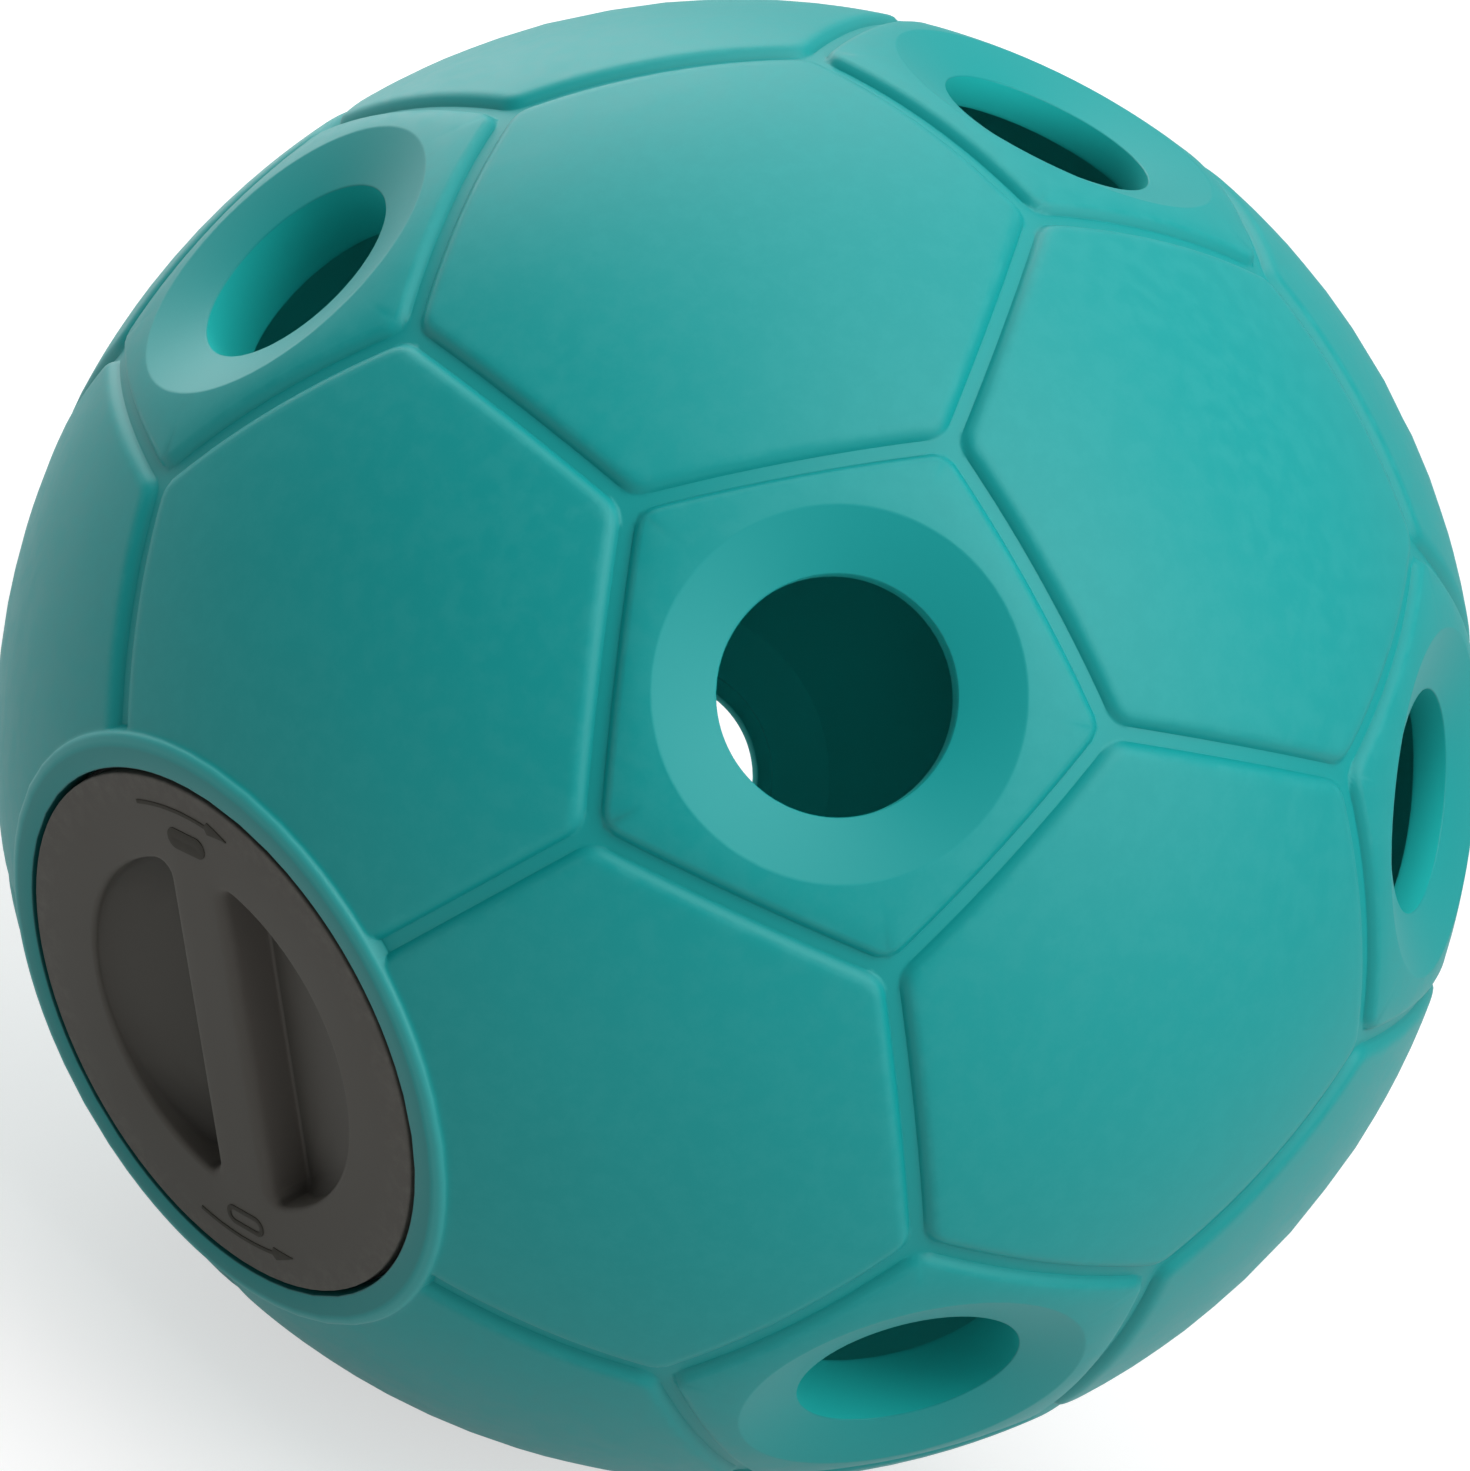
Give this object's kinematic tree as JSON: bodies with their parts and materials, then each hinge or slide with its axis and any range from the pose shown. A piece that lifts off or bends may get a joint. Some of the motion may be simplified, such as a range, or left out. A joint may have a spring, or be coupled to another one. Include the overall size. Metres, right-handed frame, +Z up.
{
  "type": "treat dispensing ball",
  "caption": "Hollow panelled ball with dished treat holes round it and a screw cap with finger pockets that closes its filling neck.",
  "frame": {"origin": "the ball's centre", "axes": "+Z up through the top treat hole; the screw cap faces -Y, below the horizontal; the ball stands on the dished edge of the bottom treat hole"},
  "size_m": [0.4, 0.4016, 0.3892],
  "materials": {
    "ball_plastic": "satin",
    "seal_rubber": "matt",
    "cap_plastic": "matt"
  },
  "bodies": {
    "shell": {"shell": "ball_plastic"},
    "cap_carrier": {"cap_seal": "seal_rubber"},
    "cap": {"screw_cap": "cap_plastic"}
  },
  "joints": [
    {"name": "cap_lift", "type": "slide", "parent": "shell", "child": "cap_carrier", "axis": [0, -0.8944, -0.4472], "range_m": [0, 0.0205]},
    {"name": "cap_turn", "type": "hinge", "parent": "cap_carrier", "child": "cap", "pos_m": [0, -0.16512, -0.08256], "axis": [0, -0.8944, -0.4472], "range_deg": [0, 900]}
  ],
  "couplings": [
    {"joint": "cap_lift", "follows": "cap_turn", "m_per_rad": 0.0012732}
  ]
}
